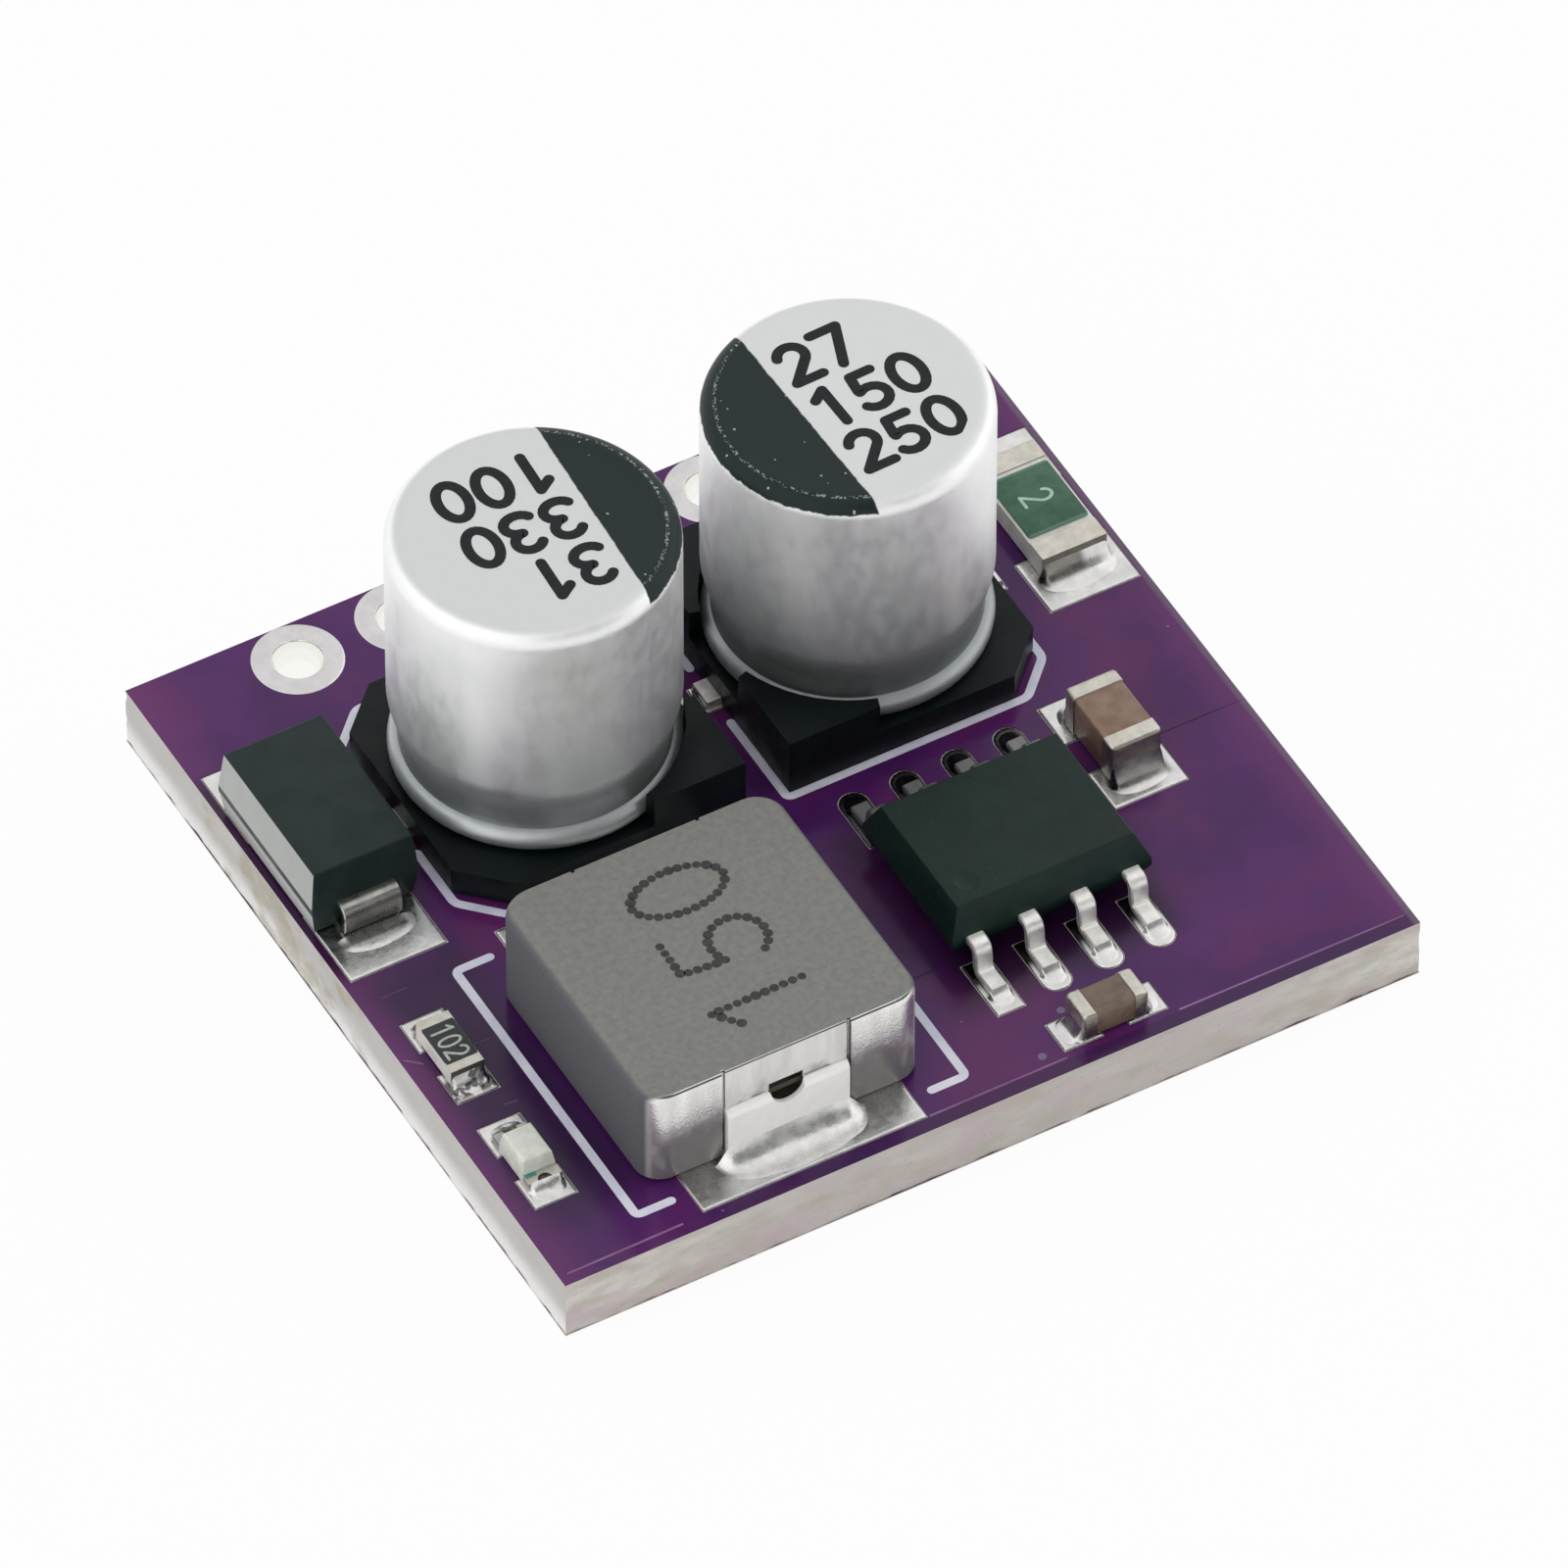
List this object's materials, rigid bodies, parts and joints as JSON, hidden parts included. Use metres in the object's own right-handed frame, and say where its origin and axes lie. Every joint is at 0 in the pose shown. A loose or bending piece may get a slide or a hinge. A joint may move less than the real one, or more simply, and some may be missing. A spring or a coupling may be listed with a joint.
{
  "type": "charging module",
  "caption": "Small square step-down charging board with can capacitors, a moulded power inductor, a diode, a controller chip and plated wire holes.",
  "frame": {"origin": "middle of the board's underside", "axes": "+X along the longer edge, +Y towards the edge with the wire holes, +Z out of the component side"},
  "size_m": [0.0208, 0.0194, 0.0092],
  "materials": {
    "laminate": "cut edge of a glass-epoxy laminate",
    "mask": "purple solder mask",
    "legend": "printed white lines",
    "plating": "hot tinned plating",
    "can": "satin drawn aluminium with a printed half-moon",
    "capacitor_base": "black moulded resin",
    "tinned_lead": "tinned lead metal",
    "solder": "reflowed solder",
    "inductor_core": "pressed iron powder, matt grey",
    "moulding": "dark moulded epoxy",
    "ceramic": "brown fired ceramic",
    "substrate": "white alumina or resin",
    "fuse_cover": "green cover coat",
    "resistor_film": "black overcoat",
    "lamp_lens": "milky clear resin"
  },
  "bodies": {
    "root": {"board_core": "laminate", "top_mask": "mask", "bottom_mask": "mask", "legend": "legend", "wire_eyelet_1": "plating", "wire_eyelet_2": "plating", "wire_eyelet_3": "plating", "wire_eyelet_4": "plating", "output_capacitor_can": "can", "output_capacitor_base": "capacitor_base", "output_capacitor_positive_terminal": "tinned_lead", "output_capacitor_negative_terminal": "tinned_lead", "output_capacitor_solder": "solder", "input_capacitor_can": "can", "input_capacitor_base": "capacitor_base", "input_capacitor_positive_terminal": "tinned_lead", "input_capacitor_negative_terminal": "tinned_lead", "input_capacitor_solder": "solder", "inductor_core": "inductor_core", "inductor_front_terminal": "tinned_lead", "inductor_rear_terminal": "tinned_lead", "inductor_solder": "solder", "diode_body": "moulding", "diode_front_lead": "tinned_lead", "diode_rear_lead": "tinned_lead", "diode_solder": "solder", "controller_body": "moulding", "controller_solder": "solder", "controller_lead_1": "tinned_lead", "controller_lead_2": "tinned_lead", "controller_lead_3": "tinned_lead", "controller_lead_4": "tinned_lead", "controller_lead_5": "tinned_lead", "controller_lead_6": "tinned_lead", "controller_lead_7": "tinned_lead", "controller_lead_8": "tinned_lead", "fuse_substrate": "substrate", "fuse_cover": "fuse_cover", "fuse_front_cap": "tinned_lead", "fuse_rear_cap": "tinned_lead", "fuse_solder": "solder", "large_ceramic_block": "ceramic", "large_ceramic_front_cap": "tinned_lead", "large_ceramic_rear_cap": "tinned_lead", "large_ceramic_solder": "solder", "small_ceramic_block": "ceramic", "small_ceramic_left_cap": "tinned_lead", "small_ceramic_right_cap": "tinned_lead", "small_ceramic_solder": "solder", "resistor_substrate": "substrate", "resistor_film": "resistor_film", "resistor_front_cap": "tinned_lead", "resistor_rear_cap": "tinned_lead", "resistor_solder": "solder", "lamp_base": "substrate", "lamp_lens": "lamp_lens", "lamp_front_end": "tinned_lead", "lamp_rear_end": "tinned_lead", "lamp_solder": "solder"}
  },
  "joints": []
}
